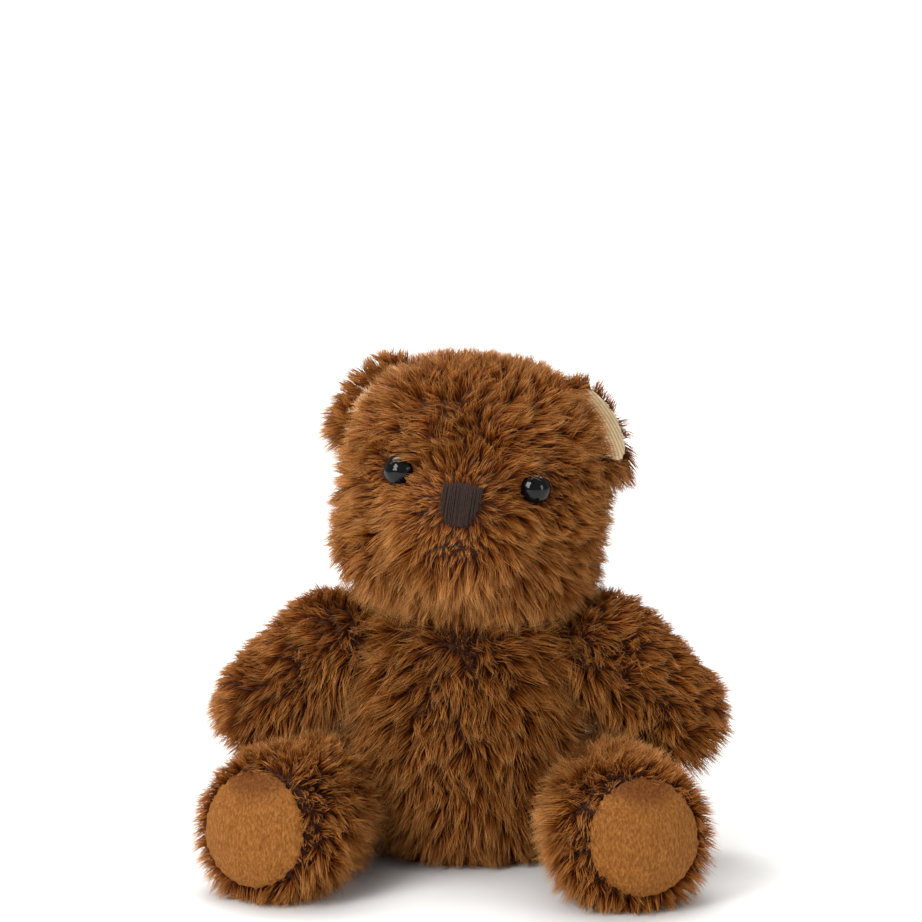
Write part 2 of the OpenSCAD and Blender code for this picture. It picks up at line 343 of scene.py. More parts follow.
# %% Places on the bear that the pile is brushed round
def disc_of(name):
    """The middle of a flat round node and the direction it faces, away from the bear."""
    points = positions(nodes[name].data)
    centre = points.mean(0)
    _, _, axes = np.linalg.svd(points - centre, full_matrices=False)
    facing = axes[2]
    return centre, facing if facing[1] < 0 else -facing


nose_at = middle("nose_stitching")
mouth_at = middle("mouth_stitching")
eyes = {side: middle("eye_" + side) for side in ("left", "right")}
soles = {side: disc_of(f"leg_{side}_sole") for side in ("left", "right")}
print("nose in mm:", (nose_at / MM).round(1), "sole:", (soles["left"][0] / MM).round(1))


# %% Where limbs point, and the surfaces of CAD nodes
def limb_direction(body, joint):
    points = positions(skins[body])
    return unit(points.mean(0) - np.array(joints[joint]["pos_m"]))


def surface_of(names):
    """Something that finds the nearest point of some CAD nodes, or where a ray meets them."""
    vertices, faces = [], []
    for name in names:
        mesh = nodes[name].data
        start = len(vertices)
        vertices += [v.co.copy() for v in mesh.vertices]
        faces += [[start + i for i in p.vertices] for p in mesh.polygons]
    return BVHTree.FromPolygons(vertices, faces)


# %% The pile's direction, length and density at each skin vertex
def step(value, low, high):
    t = np.clip((value - low) / (high - low), 0, 1)
    return t * t * (3 - 2 * t)


def groom_head(points, facing):
    comb = unit(points - nose_at)
    behind = step(points[:, 1], -15 * MM, 30 * MM)[:, None]
    comb = comb * (1 - behind) + np.array([0, 0.35, -0.8]) * behind
    near_nose = np.linalg.norm(points - nose_at, axis=1)
    lean = 0.95 - 0.55 * step(near_nose, 20 * MM, 60 * MM)
    reach = np.ones(len(points))
    cover = np.ones(len(points))
    # the eyes: pile on the nose's side lies over them, the rest is short and parts round them
    for eye in eyes.values():
        away = np.linalg.norm(points - eye, axis=1)
        nose_side = step(unit(points - eye) @ unit(nose_at - eye), -0.1, 0.6)
        reach *= 0.5 + 0.5 * nose_side + (0.5 - 0.5 * nose_side) * step(away, 8 * MM, 19 * MM)
        cover *= step(away, 4.2 * MM, 5.8 * MM)
        pull = (1 - step(away, 6 * MM, 12 * MM))[:, None]
        comb = comb * (1 - 0.3 * pull) + unit(points - eye) * pull * 0.4
    # round the nose and the mouth the pile is clipped
    reach *= 0.45 + 0.55 * step(near_nose, 9 * MM, 24 * MM)
    cover *= step(near_nose, 6.2 * MM, 8.5 * MM)
    near_mouth = np.linalg.norm((points - mouth_at) * [0.7, 1, 1.3], axis=1)
    reach *= 0.3 + 0.7 * step(near_mouth, 4 * MM, 12 * MM)
    return comb, lean, reach, cover


def groom_torso(points, facing):
    side = points[:, 0] / (45 * MM)
    comb = np.stack([side * 0.9, -0.25 * np.ones(len(points)), -np.ones(len(points))], 1)
    comb[:, 1] = np.where(points[:, 1] < 0, -0.25, 0.25)
    lean = np.full(len(points), 0.5)
    # thin under the seat, long and upright where the head sits, long where the arms touch
    cover = step(points[:, 2], 0.5 * MM, 3 * MM) * 0.95 + 0.05
    collar = step(points[:, 2], 80 * MM, 98 * MM)
    comb[:, 2] += 1.5 * collar
    flank = step(np.abs(facing[:, 0]), 0.4, 0.8) * step(points[:, 2], 20 * MM, 35 * MM)
    return comb, lean, 1 + 0.35 * collar + 0.45 * flank, cover


def groom_arm(side):
    along = limb_direction("arm_" + side, "shoulder_" + side)
    towards_body = unit(np.array([-0.9 if side == "left" else 0.9, 0, -0.7]))

    def groom(points, facing):
        comb = np.tile(along, (len(points), 1))
        inner = step(facing @ towards_body, -0.2, 0.7)
        return comb, np.full(len(points), 0.5), 0.85 + 0.5 * inner, np.ones(len(points))

    return groom


def groom_leg(side):
    centre, out = soles[side]
    along = limb_direction("leg_" + side, "hip_" + side)

    def groom(points, facing):
        spoke = points - centre
        height = spoke @ out
        spoke = spoke - height[:, None] * out
        radius = np.linalg.norm(spoke, axis=1)
        near = (1 - step(-height, 4 * MM, 20 * MM))[:, None]
        at_seam = (1 - step(-height, 2 * MM, 10 * MM))[:, None]
        comb = along * (1 - near) + unit(spoke) * near * (1.1 - at_seam) + out * (near * 0.3 + at_seam)
        lean = np.full(len(points), 0.5)
        over_pad = 1 - step(radius, 20.5 * MM, 21.5 * MM)
        on_pad = (1 - step(-height, 4 * MM, 7 * MM)) * over_pad
        return comb, lean, 1 - 0.25 * near[:, 0], 1 - on_pad

    return groom


def groom_ear(side, fold, bare, past):
    """Pile folds over the rim, as far in as `bare`, on the side that is at most `past` behind the middle."""
    centre, out = disc_of(f"ear_{side}_lining")
    lining = surface_of([f"ear_{side}_lining"])

    def groom(points, facing):
        spoke = unit(points - centre)
        gap = np.array([lining.find_nearest(Vector(p))[3] for p in points])
        near_rim = step(centre[1] - points[:, 1], -past, 14 * MM - past)[:, None]
        comb = spoke + out * (0.3 + fold * near_rim)
        in_cup = step(facing @ out, 0.25, 0.55) * (1 - step(gap, 3 * MM, 5 * MM))
        folded = step(np.linalg.norm(points - centre, axis=1), bare, bare + 2 * MM)
        in_cup *= 1 - folded * step(near_rim[:, 0], 0.3, 0.6)
        return comb, np.full(len(points), 0.8), np.full(len(points), 0.95), 1 - in_cup

    return groom


# %% One groom for each body and ear
grooms = {
    "head": groom_head, "torso": groom_torso,
    "arm_left": groom_arm("left"), "arm_right": groom_arm("right"),
    "leg_left": groom_leg("left"), "leg_right": groom_leg("right"),
    "ear_left": groom_ear("left", 0.3, 14 * MM, 4 * MM),
    "ear_right": groom_ear("right", 1.8, 6 * MM, 40 * MM),
}


def groom_skin(mesh, groom):
    """Stores a groom on its skin, with the combing direction laid flat along the skin."""
    points, facing = positions(mesh), normals(mesh)
    comb, lean, reach, cover = groom(points, facing)
    flat = comb - facing * np.sum(comb * facing, axis=1, keepdims=True)
    flat = flat / np.maximum(np.linalg.norm(flat, axis=1, keepdims=True), 0.4)
    flat = flat * lean[:, None]
    for name, values in (("comb", flat), ("reach", reach), ("cover", cover)):
        set_values(mesh, name, values)


# %% [markdown]
# ## Growing the pile
# Geometry Nodes scatter the roots over a panel and put a thin three-sided spike on each. Plush
# fibres cling together in locks a few millimetres apart, so a second, sparser scatter gives each
# lock its own line, and every strand is pulled towards the nearest one, more so at its tip. The
# spikes are bent in one go: each vertex knows how far along its strand it is.

# %% The pile tree and its settings
LOCKS = 1.2e5
DROOP = 0.22
CRIMP_SCALE = 420.0  # a bend about every 2.4 mm

grow_pile = bpy.data.node_groups.new("grow_pile", "GeometryNodeTree")
face = grow_pile.interface
face.new_socket("Geometry", in_out="OUTPUT", socket_type="NodeSocketGeometry")
face.new_socket("Geometry", in_out="INPUT", socket_type="NodeSocketGeometry")
for name, kind, value in (
    ("Strands per m2", "Float", 1.3e6), ("Locks per m2", "Float", LOCKS),
    ("Length", "Float", 12 * MM), ("Root Radius", "Float", 0.24 * MM),
    ("Lock Pull", "Float", 0.6), ("Stray", "Float", 0.35), ("Swirl", "Float", 1.1),
    ("Swirl Size", "Float", 11 * MM), ("Frizz", "Float", 1.2 * MM), ("Seed", "Int", 1),
):
    socket = face.new_socket(name, in_out="INPUT", socket_type="NodeSocket" + kind)
    socket.default_value = value
face.new_socket("Material", in_out="INPUT", socket_type="NodeSocketMaterial")
given = add(grow_pile, "NodeGroupInput").outputs
print("settings of the pile:", [s.name for s in face.items_tree if s.in_out == "INPUT"])


# %% Shorthand for the nodes of the pile tree
def math_node(operation, *values):
    return add(grow_pile, "ShaderNodeMath", dict(enumerate(values)), operation=operation).outputs[0]


def vector(operation, *values):
    node = add(grow_pile, "ShaderNodeVectorMath", dict(enumerate(values)), operation=operation)
    return node.outputs[0]


def scaled(value, factor):
    node = add(grow_pile, "ShaderNodeVectorMath", {0: value, "Scale": factor}, operation="SCALE")
    return node.outputs[0]


def named(name, kind="FLOAT_VECTOR"):
    return add(grow_pile, "GeometryNodeInputNamedAttribute", {"Name": name}, data_type=kind).outputs[0]


def stored(geometry, name, value, kind="FLOAT_VECTOR"):
    return add(grow_pile, "GeometryNodeStoreNamedAttribute",
               {"Geometry": geometry, "Name": name, "Value": value},
               data_type=kind, domain="POINT").outputs[0]


def chance(kind, low, high, salt):
    seed = math_node("ADD", given["Seed"], salt)
    node = add(grow_pile, "FunctionNodeRandomValue", {"Seed": seed}, data_type=kind)
    names = [s for s in node.inputs if s.enabled and s.name in ("Min", "Max")]
    names[0].default_value = low
    names[1].default_value = high
    return next(s for s in node.outputs if s.enabled)


def scatter(density, salt):
    cover = math_node("MULTIPLY", named("cover", "FLOAT"), density)
    return add(grow_pile, "GeometryNodeDistributePointsOnFaces", {
        "Mesh": given["Geometry"], "Density": cover,
        "Seed": math_node("ADD", given["Seed"], salt),
    }, distribute_method="RANDOM").outputs


def direction(normal, spread, salt):
    stray = scaled(chance("FLOAT_VECTOR", (-1, -1, -1), (1, 1, 1), salt), spread)
    cloud = add(grow_pile, "ShaderNodeTexNoise", {
        "Vector": place, "Scale": math_node("DIVIDE", 1.0, given["Swirl Size"]), "Detail": 1.0,
    }).outputs["Color"]
    swirl = scaled(vector("SUBTRACT", cloud, (0.5, 0.5, 0.5)), math_node("MULTIPLY", given["Swirl"], 2.0))
    total = vector("ADD", vector("ADD", normal, named("comb")), vector("ADD", stray, swirl))
    return vector("NORMALIZE", total)


place = add(grow_pile, "GeometryNodeInputPosition").outputs[0]

# %% Locks and strands
# the locks: sparse points, each with its own root and direction
lock_points = scatter(given["Locks per m2"], 11)
locks = stored(lock_points["Points"], "lock_aim",
               direction(lock_points["Normal"], math_node("MULTIPLY", given["Stray"], 1.6), 12))
locks = stored(locks, "lock_tone", chance("FLOAT", 0.0, 1.0, 13), "FLOAT")

# the strands, each told which lock is nearest
roots = scatter(given["Strands per m2"], 21)
strands = roots["Points"]
nearest = add(grow_pile, "GeometryNodeSampleNearest", {"Geometry": locks}, domain="POINT").outputs[0]


def of_lock(value, kind):
    return add(grow_pile, "GeometryNodeSampleIndex",
               {"Geometry": locks, "Value": value, "Index": nearest},
               data_type=kind, domain="POINT").outputs[0]


size = math_node("MULTIPLY", math_node("MULTIPLY", given["Length"], named("reach", "FLOAT")),
                 chance("FLOAT", 0.62, 1.1, 22))
tone = math_node("ADD", math_node("MULTIPLY", chance("FLOAT", 0.0, 1.0, 23), 0.55),
                 math_node("MULTIPLY", of_lock(named("lock_tone", "FLOAT"), "FLOAT"), 0.45))
for name, value, kind in (
    ("root", place, "FLOAT_VECTOR"),
    ("aim", direction(roots["Normal"], given["Stray"], 24), "FLOAT_VECTOR"),
    ("lock_root", of_lock(place, "FLOAT_VECTOR"), "FLOAT_VECTOR"),
    ("lock_aim", of_lock(named("lock_aim"), "FLOAT_VECTOR"), "FLOAT_VECTOR"),
    ("size", size, "FLOAT"),
    ("tone", tone, "FLOAT"),
):
    strands = stored(strands, name, value, kind)
print("one lock to every", round((1 / LOCKS) ** 0.5 / MM, 1), "mm, each strand told its nearest")

# %% One spike, copied to every root
# one spike, with each vertex's place along and around it
spike = add(grow_pile, "GeometryNodeMeshCone", {
    "Vertices": 3, "Side Segments": 2, "Radius Top": 0.0, "Radius Bottom": 1.0, "Depth": 1.0,
}, fill_type="NGON").outputs["Mesh"]
parts = add(grow_pile, "ShaderNodeSeparateXYZ", {0: place}).outputs
ring = vector("NORMALIZE", add(grow_pile, "ShaderNodeCombineXYZ", {0: parts[0], 1: parts[1]}).outputs[0])
spike = stored(spike, "along", parts[2], "FLOAT")
spike = stored(spike, "ring", ring)
spikes = add(grow_pile, "GeometryNodeInstanceOnPoints", {"Points": strands, "Instance": spike}).outputs[0]
spikes = add(grow_pile, "GeometryNodeRealizeInstances", {"Geometry": spikes}).outputs[0]

# %% Bend the spikes
# bend every spike along its own line, then towards its lock's
along = named("along", "FLOAT")
reach = math_node("MULTIPLY", along, named("size", "FLOAT"))
droop = add(grow_pile, "ShaderNodeCombineXYZ", {
    2: math_node("MULTIPLY", math_node("MULTIPLY", reach, along), -DROOP)}).outputs[0]
line = vector("ADD", vector("ADD", named("root"), scaled(named("aim"), reach)), droop)
lock_line = vector("ADD", vector("ADD", named("lock_root"), scaled(named("lock_aim"), reach)), droop)
pull = math_node("MULTIPLY", math_node("POWER", along, 0.9), given["Lock Pull"])
line = vector("ADD", line, scaled(vector("SUBTRACT", lock_line, line), pull))
wave = add(grow_pile, "ShaderNodeTexNoise", {
    "Vector": vector("ADD", named("root"), scaled(named("aim"), math_node("MULTIPLY", along, 3 * MM))),
    "Scale": CRIMP_SCALE, "Detail": 0.0}).outputs["Color"]
wave = scaled(vector("SUBTRACT", wave, (0.5, 0.5, 0.5)), math_node("MULTIPLY", given["Frizz"], along))
line = vector("ADD", line, scaled(wave, 2.0))
side = vector("NORMALIZE", vector("CROSS_PRODUCT", named("aim"), (0.31, 0.53, 0.79)))
other = vector("CROSS_PRODUCT", named("aim"), side)
around = add(grow_pile, "ShaderNodeSeparateXYZ", {0: named("ring")}).outputs
offset = vector("ADD", scaled(side, around[0]), scaled(other, around[1]))
taper = math_node("SUBTRACT", 1.0, math_node("MULTIPLY", math_node("POWER", along, 1.6), 0.95))
thick = math_node("MULTIPLY", taper, given["Root Radius"])
final = vector("ADD", line, scaled(offset, thick))
final_parts = add(grow_pile, "ShaderNodeSeparateXYZ", {0: final}).outputs
lifted = math_node("MAXIMUM", final_parts[2], 0.3 * MM)
final = add(grow_pile, "ShaderNodeCombineXYZ", {0: final_parts[0], 1: final_parts[1], 2: lifted}).outputs[0]
moved = add(grow_pile, "GeometryNodeSetPosition", {"Geometry": spikes, "Position": final}).outputs[0]
for name in ("root", "aim", "lock_root", "lock_aim", "size", "ring", "comb", "reach", "cover"):
    moved = add(grow_pile, "GeometryNodeRemoveAttribute", {"Geometry": moved, "Name": name}).outputs[0]
done = add(grow_pile, "GeometryNodeSetMaterial", {"Geometry": moved, "Material": given["Material"]})
add(grow_pile, "NodeGroupOutput", {0: done.outputs[0]})
print("pile tree:", len(grow_pile.nodes), "nodes")

# %% [markdown]
# ## Panels
# The cover of each part is cut from panels, so each skin is divided where the CAD panels are, and
# every panel gets a thin backing and its own pile. The backing stands for the CAD panel.

# %% Divide a skin into its sewn panels and grow their pile
def nearest_panel(points, panels):
    surfaces = [surface_of([panel]) for panel in panels]
    return np.array([
        min(range(len(panels)), key=lambda i: surfaces[i].find_nearest(Vector(p))[3]) for p in points
    ])


def patch_of(mesh, keep, patch_name):
    """A new mesh of the kept faces, with the groom attributes of their vertices."""
    used = sorted({i for p in keep for i in mesh.polygons[p].vertices})
    place = {old: new for new, old in enumerate(used)}
    patch = bpy.data.meshes.new(patch_name)
    patch.from_pydata([mesh.vertices[i].co for i in used], [],
                      [[place[i] for i in mesh.polygons[p].vertices] for p in keep])
    for name, width in (("comb", 3), ("reach", 1), ("cover", 1)):
        set_values(patch, name, values_of(mesh, name, width)[used])
    smooth_faces(patch)
    return patch


def smooth_faces(mesh):
    mesh.polygons.foreach_set("use_smooth", [True] * len(mesh.polygons))


def show(mesh, name, body, material=None):
    piece = put(name, mesh)
    if material:
        mesh.materials.append(material)
    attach(piece, body)
    return piece


def grow(patch, name, seed, settings):
    work = put("work", patch)
    modifier = work.modifiers.new("pile", "NODES")
    modifier.node_group = grow_pile
    ids = {s.name: s.identifier for s in grow_pile.interface.items_tree if s.in_out == "INPUT"}
    modifier[ids["Seed"]] = seed
    modifier[ids["Material"]] = pile
    for setting, value in settings.items():
        modifier[ids[setting]] = value
    return baked(work, name)


def triangles_of(mesh):
    return sum(len(p.vertices) - 2 for p in mesh.polygons)


BACKING = 1.2 * MM
QUALITY = 1.0
PILE = {
    "head": {"Strands per m2": 1.5e6, "Lock Pull": 0.62, "Stray": 0.38, "Swirl": 1.5},
    "torso": {"Strands per m2": 1.15e6, "Lock Pull": 0.6, "Swirl": 1.2},
    "arm": {"Strands per m2": 1.3e6, "Lock Pull": 0.6, "Swirl": 1.2},
    "leg": {"Strands per m2": 1.3e6, "Lock Pull": 0.6, "Swirl": 1.0},
    "ear": {"Strands per m2": 3e6, "Lock Pull": 0.6, "Swirl": 0.8},
}
panels = {
    "head": ["head_gusset", "head_side_left", "head_side_right"],
    "torso": ["torso_front_panel", "torso_back_panel"],
    **{f"{limb}_{side}": [f"{limb}_{side}_outer", f"{limb}_{side}_inner"]
       for limb in ("arm", "leg") for side in ("left", "right")},
}
triangles = {}


def clothe(skin, names, body, groom, seed):
    """Cuts a skin into its panels, then gives each its backing and its pile."""
    groom_skin(skin, groom)
    owner = nearest_panel([p.center for p in skin.polygons], names) if len(names) > 1 else None
    settings = dict(PILE[names[0].split("_")[0]])
    settings["Strands per m2"] *= QUALITY
    settings["Root Radius"] = 0.21 * MM / QUALITY ** 0.5
    for index, name in enumerate(names):
        keep = range(len(skin.polygons)) if owner is None else np.flatnonzero(owner == index).tolist()
        patch = patch_of(skin, keep, name + "_backing")
        strands = grow(patch.copy(), name + "_pile", seed + 10 * index, settings)
        show(strands, name + "_pile", body)
        ground = show(patch, name + "_backing", body, backing)
        if owner is not None:
            wall = ground.modifiers.new("wall", "SOLIDIFY")
            wall.thickness = BACKING
            wall.offset = -1
        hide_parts(name)
        triangles[name] = triangles_of(strands)
        print(name, "pile:", triangles[name], "triangles")


for body_index, (body, names) in enumerate(panels.items()):
    clothe(skins[body], names, body, grooms[body], 1 + 100 * body_index)

# %% [markdown]
# ## Ears
# An ear is a cupped circle of plush with a lining of ribbed linen in front. It is sewn shut round
# the rim and turned, so both layers puff a little. Pile grows on the back and round the rim.

# %% Ears and their linings
def lining_material():
    # cream linen with a fine woven rib 0.9 mm apart, matt, with painted shade darkening the rib hollows
    material, tree, shader = new_material("ear_lining_ribbed_linen")
    place = add(tree, "ShaderNodeTexCoord").outputs["Object"]
    turned = add(tree, "ShaderNodeMapping", {"Vector": place, "Rotation": (0.2, 0.5, 0.3)}).outputs[0]
    rib = add(tree, "ShaderNodeTexWave", {
        "Vector": turned, "Scale": 0.31 / (0.9 * MM), "Distortion": 0.6, "Detail": 1.0,
    }).outputs["Fac"]
    slub = add(tree, "ShaderNodeTexNoise", {"Vector": place, "Scale": 1 / (2.5 * MM)}).outputs["Fac"]
    # painted shade in the rib hollows, multiplied by the slub's random tone
    rib_hollow_shade_and_slub = add(tree, "ShaderNodeMath", {0: rib, 1: slub}, operation="MULTIPLY").outputs[0]
    color = color_ramp(tree, rib_hollow_shade_and_slub, [(0.0, "#b8986c"), (0.3, "#d3b88d"), (1.0, "#e6d2b0")])
    dress(tree, shader, color, {"Roughness": 0.85, "Sheen Weight": 0.15}, relief=(rib, 0.8, 0.25))
    return material


lining_linen = lining_material()
for side_index, side in enumerate(("left", "right")):
    back, lining = f"ear_{side}_back", f"ear_{side}_lining"
    skin = rounded([back], 1.3 * MM, 6, back)
    set_positions(skin, positions(skin) + normals(skin) * 0.5 * MM)
    clothe(skin, [back], "head", grooms["ear_" + side], 801 + 50 * side_index)
    front = rounded([lining], 1.0 * MM, 4, lining)
    set_positions(front, positions(front) + normals(front) * 0.5 * MM)
    front = stuffed(front, cap=1.2 * MM)
    smooth_faces(front)
    piece = show(front, lining + "_linen", "head", lining_linen)
    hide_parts(lining)
    print(lining, len(front.polygons), "faces")

# %% [markdown]
# ## Sole pads
# The soles are velboa, a velour with a nap barely a millimetre long. The nap is brushed one way.
# A patch at the top of the pad, under the toes, is painted darker as shade. The pad is stuffed into a
# dome and its edge puckers a little at the seam.

# %% Sole pads
def velboa_material():
    # short straight nap: streaks under a millimetre apart, drawn out along the brush direction
    material, tree, shader = new_material("sole_velboa_short_nap")
    place = add(tree, "ShaderNodeTexCoord").outputs["Object"]
    streaks = add(tree, "ShaderNodeMapping", {
        "Vector": place, "Rotation": (0.0, math.radians(-50), 0.0), "Scale": (1.0, 1.0, 0.4),
    }).outputs[0]
    nap = add(tree, "ShaderNodeTexNoise", {
        "Vector": streaks, "Scale": 1 / (0.8 * MM), "Detail": 3.0, "Roughness": 0.7,
    }).outputs["Fac"]
    # painted shade: two ramps make lit and shaded copies of one nap colour, and the shaded one is mixed in
    # over the pad's top
    painted_top_shade = add(tree, "ShaderNodeAttribute", attribute_name="painted_top_shade").outputs["Fac"]
    light = color_ramp(tree, nap, [(0.33, "#6f3f11"), (0.5, "#875220"), (0.67, "#9d6a31")])
    painted_shade_nap = color_ramp(tree, nap, [(0.33, "#512908"), (0.5, "#66370f"), (0.67, "#7b481a")])
    mix = add(tree, "ShaderNodeMix", {"Factor": painted_top_shade, 6: light, 7: painted_shade_nap}, data_type="RGBA")
    dress(tree, shader, mix.outputs[2], {
        "Roughness": 0.75, "Specular IOR Level": 0.15,
        "Sheen Weight": 0.18, "Sheen Roughness": 0.35, "Sheen Tint": hex_color("#e0a050"),
    }, relief=(nap, 0.7, 0.35))
    return material


velboa = velboa_material()
PUCKERS, PUCKER_DEPTH = 34, 0.18 * MM
PAD_SPREAD, PAD_CROWN, PAD_SINK = 0.07, 3.6 * MM, 0.6 * MM
for side in ("left", "right"):
    name = f"leg_{side}_sole"
    centre, out = soles[side]
    pad = rounded([name], 1.3 * MM, 5, name)
    pad = stuffed(pad, cap=1.5 * MM)
    points = positions(pad)
    spoke = points - centre
    spoke = spoke - (spoke @ out)[:, None] * out
    radius = np.linalg.norm(spoke, axis=1)
    rise = unit(np.array([0, 0, 1.0]) - out * out[2])
    across_pad = np.cross(rise, out)
    angle = np.arctan2(spoke @ rise, spoke @ across_pad)
    edge = step(radius, 17 * MM, 22 * MM)
    points += normals(pad) * (edge * np.sin(angle * PUCKERS) * PUCKER_DEPTH)[:, None]
    crown = 1 - (radius / radius.max()) ** 2
    set_positions(pad, points + spoke * PAD_SPREAD + out * (PAD_CROWN * crown - PAD_SINK)[:, None])
    # painted shade: a darker patch over the top of the pad, under the toes
    upwards, sideways = (spoke @ rise) / radius.max(), (spoke @ across_pad) / radius.max()
    set_values(pad, "painted_top_shade", step(upwards - 0.8 * sideways ** 2, 0.3, 0.75))
    smooth_faces(pad)
    piece = show(pad, name + "_velboa", "leg_" + side, velboa)
    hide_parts(name)
    print(name, len(pad.polygons), "faces")

# %% [markdown]
# ## Nose and mouth
# The nose is satin stitch: thick embroidery thread laid side by side over a felt shape, with a
# groove down the middle. The threads are lines laid on the CAD nose, and one small tree turns lines
# into thread. The mouth is two plain stitches, which are right in CAD and only need their finish.

# %% Thread
def thread_material():
    # six-strand cotton: almost black brown, a twist of 0.7 mm that catches a little light
    material, tree, shader = new_material("embroidery_thread_cotton")
    place = add(tree, "ShaderNodeTexCoord").outputs["Object"]
    fuzz = add(tree, "ShaderNodeTexNoise", {
        "Vector": place, "Scale": 1 / (0.7 * MM), "Detail": 4.0, "Roughness": 0.7,
    }).outputs["Fac"]
    color = color_ramp(tree, fuzz, [(0.25, "#120804"), (0.55, "#2a160b"), (0.8, "#4f3320")])
    dress(tree, shader, color, {"Roughness": 0.7, "Specular IOR Level": 0.3}, relief=(fuzz, 0.6, 0.2))
    return material


def thread_tree():
    tree = bpy.data.node_groups.new("lay_thread", "GeometryNodeTree")
    face = tree.interface
    face.new_socket("Geometry", in_out="OUTPUT", socket_type="NodeSocketGeometry")
    face.new_socket("Geometry", in_out="INPUT", socket_type="NodeSocketGeometry")
    face.new_socket("Thread Radius", in_out="INPUT", socket_type="NodeSocketFloat")
    face.new_socket("Material", in_out="INPUT", socket_type="NodeSocketMaterial")
    given = add(tree, "NodeGroupInput").outputs
    line = add(tree, "GeometryNodeMeshToCurve", {"Mesh": given["Geometry"]}).outputs[0]
    round_thread = add(tree, "GeometryNodeCurvePrimitiveCircle",
                       {"Resolution": 7, "Radius": given["Thread Radius"]}).outputs[0]
    solid = add(tree, "GeometryNodeCurveToMesh",
                {"Curve": line, "Profile Curve": round_thread, "Fill Caps": True}).outputs[0]
    joined = add(tree, "GeometryNodeRealizeInstances", {"Geometry": solid}).outputs[0]
    done = add(tree, "GeometryNodeSetMaterial", {"Geometry": joined, "Material": given["Material"]})
    add(tree, "NodeGroupOutput", {0: done.outputs[0]})
    return tree


thread = thread_material()
lay_thread = thread_tree()


def threads(lines, name, radius):
    vertices, edges = [], []
    for line in lines:
        edges += [(len(vertices) + i, len(vertices) + i + 1) for i in range(len(line) - 1)]
        vertices += [tuple(p) for p in line]
    mesh = bpy.data.meshes.new(name)
    mesh.from_pydata(vertices, edges, [])
    work = put("work", mesh)
    modifier = work.modifiers.new("thread", "NODES")
    modifier.node_group = lay_thread
    ids = {s.name: s.identifier for s in lay_thread.interface.items_tree if s.in_out == "INPUT"}
    modifier[ids["Thread Radius"]] = radius
    modifier[ids["Material"]] = thread
    return baked(work, name)


# %% Satin stitches of the nose
THREAD, STITCH_GAP = 0.42 * MM, 0.66 * MM
HALF_WIDTH, HALF_HEIGHT, NOSE_TOP = 8.8 * MM, 9.5 * MM, 7.4 * MM
GROOVE_DEPTH, GROOVE_WIDTH = 0.55 * MM, 0.9 * MM
PROUD, TUCK, WANDER = 0.12 * MM, 0.9 * MM, 0.035 * MM
nose_surface = surface_of(["nose_stitching"])
_, nose_out = disc_of("nose_stitching")
nose_across = unit(np.cross(up_head, nose_out))
nose_up = np.cross(nose_out, nose_across)
draw = np.random.default_rng(5)
stitches = []
for offset in np.arange(-HALF_WIDTH, HALF_WIDTH + 0.01 * MM, STITCH_GAP):
    line = []
    for height in np.arange(HALF_HEIGHT, -HALF_HEIGHT - 0.01 * MM, -0.5 * MM):
        start = nose_at + nose_across * offset + nose_up * height + nose_out * 20 * MM
        hit = nose_surface.ray_cast(Vector(start), Vector(-nose_out), 26 * MM)
        if hit[0] is not None and hit[1].dot(Vector(nose_out)) > 0.35:
            line.append(np.array(hit[0]))
    if len(line) > 5:
        sink = GROOVE_DEPTH * math.exp(-((offset / GROOVE_WIDTH) ** 2))
        wander = np.cumsum(draw.normal(0, WANDER, len(line)))
        line = [p + nose_across * w + nose_out * (PROUD - sink) for p, w in zip(line, wander)]
        short = NOSE_TOP - (line[0] - nose_at) @ nose_up
        if short > 0:
            line = [line[0] + nose_up * short - nose_out * 0.3 * short] + line
        over, under = nose_up * 0.5 * MM, nose_out * TUCK
        stitches.append([line[0] + over - under] + line + [line[-1] - over - under])
satin = threads(stitches, "nose_satin_stitches", THREAD)
smooth_faces(satin)
show(satin, "nose_satin_stitches", "head")
print("nose:", len(stitches), "stitches")

# %% [markdown]
# ## Eyes and joints
# The eyes are moulded safety eyes, polished black plastic with a shank that goes through the head
# to a toothed washer. Their CAD shapes are right, as are the joint discs, so they keep them and get
# a finish. The joints are nylon mouldings with a faint milky depth.

# %% Plastics
def finish(names, material):
    for name in names:
        for slot in nodes[name].material_slots:
            slot.material = material


def eye_material():
    # polished black acrylic: a mirror-like clear surface over a deep, very slightly uneven black
    material, tree, shader = new_material("safety_eye_polished_acrylic")
    place = add(tree, "ShaderNodeTexCoord").outputs["Object"]
    cloud = add(tree, "ShaderNodeTexNoise", {"Vector": place, "Scale": 1 / (3 * MM)}).outputs["Fac"]
    color = color_ramp(tree, cloud, [(0.3, "#050506"), (0.7, "#0d0d0f")])
    dress(tree, shader, color, {"Roughness": 0.06, "IOR": 1.49, "Specular IOR Level": 0.32})
    return material


def nylon_material():
    # natural nylon 6: off-white, slightly see-through, a moulded satin with a faint grain
    material, tree, shader = new_material("joint_moulded_nylon")
    place = add(tree, "ShaderNodeTexCoord").outputs["Object"]
    grain = add(tree, "ShaderNodeTexNoise", {"Vector": place, "Scale": 1 / (0.8 * MM)}).outputs["Fac"]
    color = color_ramp(tree, grain, [(0.3, "#d8d2c4"), (0.7, "#e9e5da")])
    dress(tree, shader, color, {
        "Roughness": 0.42, "IOR": 1.53, "Subsurface Weight": 0.15, "Subsurface Scale": 1.5 * MM,
    }, relief=(grain, 0.15, 0.05))
    return material


hardware = [n for n in nodes if n.endswith(("_stud", "_disc", "_lock_ring", "_washer"))]
finish(hardware, nylon_material())
finish(["eye_left", "eye_right"], eye_material())
finish(["nose_stitching", "mouth_stitching"], thread)
print("hardware with a nylon finish:", len(hardware))

# %% [markdown]
# ## Stuffing
# Polyester fibrefill is pushed in by the handful, so it is lumpy and full of crimped fibre. Each
# filling is the CAD one remeshed, with its surface pushed in and out by a soft noise.

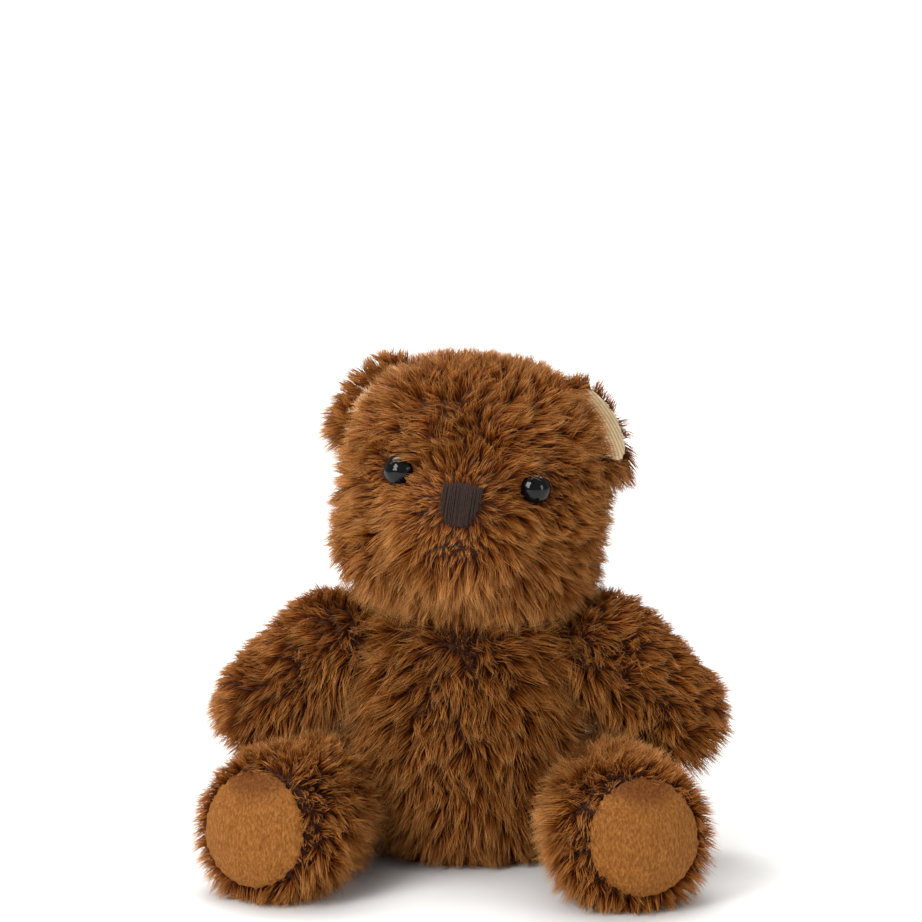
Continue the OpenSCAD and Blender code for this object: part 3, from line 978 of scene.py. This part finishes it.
# %% Stuffing
def stuffing_material():
    # hollow crimped polyester: white, matt, with wisps that run every way
    material, tree, shader = new_material("stuffing_polyester_fibrefill")
    place = add(tree, "ShaderNodeTexCoord").outputs["Object"]
    wisps = add(tree, "ShaderNodeTexNoise", {
        "Vector": place, "Scale": 1 / (2 * MM), "Detail": 5.0, "Distortion": 2.5,
    }).outputs["Fac"]
    color = color_ramp(tree, wisps, [(0.3, "#cfcbc2"), (0.6, "#f1eee8")])
    dress(tree, shader, color, {"Roughness": 0.95}, relief=(wisps, 0.8, 0.6))
    return material


fibrefill = stuffing_material()
for body in panels:
    lumps = rounded([body + "_filling"], 3.2 * MM, 4, body + "_fibrefill")
    points = positions(lumps)
    wave = sum(np.sin(points @ np.array(k) / (5.5 * MM)) for k in
               ((1, 0.4, 0.2), (-0.3, 1, 0.5), (0.2, -0.5, 1), (0.8, 0.7, -0.6)))
    set_positions(lumps, points - normals(lumps) * (0.9 * MM + 0.22 * MM * wave)[:, None])
    smooth_faces(lumps)
    piece = show(lumps, body + "_fibrefill", body, fibrefill)
    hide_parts(body + "_filling")
    print(body, "fibrefill:", len(lumps.polygons), "faces")

# %% [markdown]
# ## Floor, light and backdrop
# The bear sits on white paper that curves up behind it. A soft key light from the front left models
# the face, a top light and a weak strip on the right open the shadows, and the backdrop has its own
# light, so that the paper turns pure white behind the bear while the floor keeps a soft shadow.

# %% Floor, light and backdrop
def sweep_mesh():
    """A floor that curves up into a backdrop, so that no horizon shows."""
    half, front, back, radius = 3.0, -2.5, 2.0, 1.2
    outline = [(front, 0.0)] + [
        (back + radius * math.sin(a), radius - radius * math.cos(a))
        for a in np.linspace(0, math.pi / 2, 16)
    ] + [(back + radius, 3.5)]
    vertices = [(x, y, z) for x in (-half, half) for y, z in outline]
    count = len(outline)
    faces = [(i, i + 1, count + i + 1, count + i) for i in range(count - 1)]
    mesh = bpy.data.meshes.new("floor")
    mesh.from_pydata(vertices, [], [tuple(reversed(f)) for f in faces])
    smooth_faces(mesh)
    return mesh


floor = put("floor", sweep_mesh())
paper, paper_tree, paper_shader = new_material("white_paper_sweep")
paper_shader.inputs["Base Color"].default_value = hex_color("#f4f3f1")
paper_shader.inputs["Roughness"].default_value = 0.9
floor.data.materials.append(paper)


def soft_light(name, place, size, power, target=(0, -0.02, 0.1)):
    lamp = bpy.data.lights.new(name, "AREA")
    lamp.shape = "RECTANGLE"
    lamp.size, lamp.size_y = size
    lamp.energy = power
    light = put(name, lamp)
    light.location = place
    light.rotation_euler = (Vector(target) - Vector(place)).to_track_quat("-Z", "Y").to_euler()
    return light


soft_light("key_softbox", (-0.75, -1.15, 0.85), (0.6, 1.0), 19)
soft_light("top_softbox", (-0.3, 0.15, 1.5), (1.2, 1.2), 11)
soft_light("fill_strip", (1.2, -0.7, 0.3), (0.35, 0.9), 4.5)
soft_light("backdrop_softbox", (0, 0.9, 2.6), (3.5, 1.0), 110, target=(0, 3.2, 0.7))
world = bpy.data.worlds.new("studio")
bpy.context.scene.world = world
world.use_nodes = True
world.node_tree.nodes["Background"].inputs["Color"].default_value = (1, 1, 1, 1)
world.node_tree.nodes["Background"].inputs["Strength"].default_value = 0.3
bpy.context.scene.view_settings.view_transform = "Standard"

# %% [markdown]
# ## Triangles, and the end
# Everything that shows is a few millimetres larger all round than the CAD model, by the length of
# the pile. The triangles of the pile are counted.

# %% Triangles, and the end
print("triangles in the pile:", sum(triangles.values()))
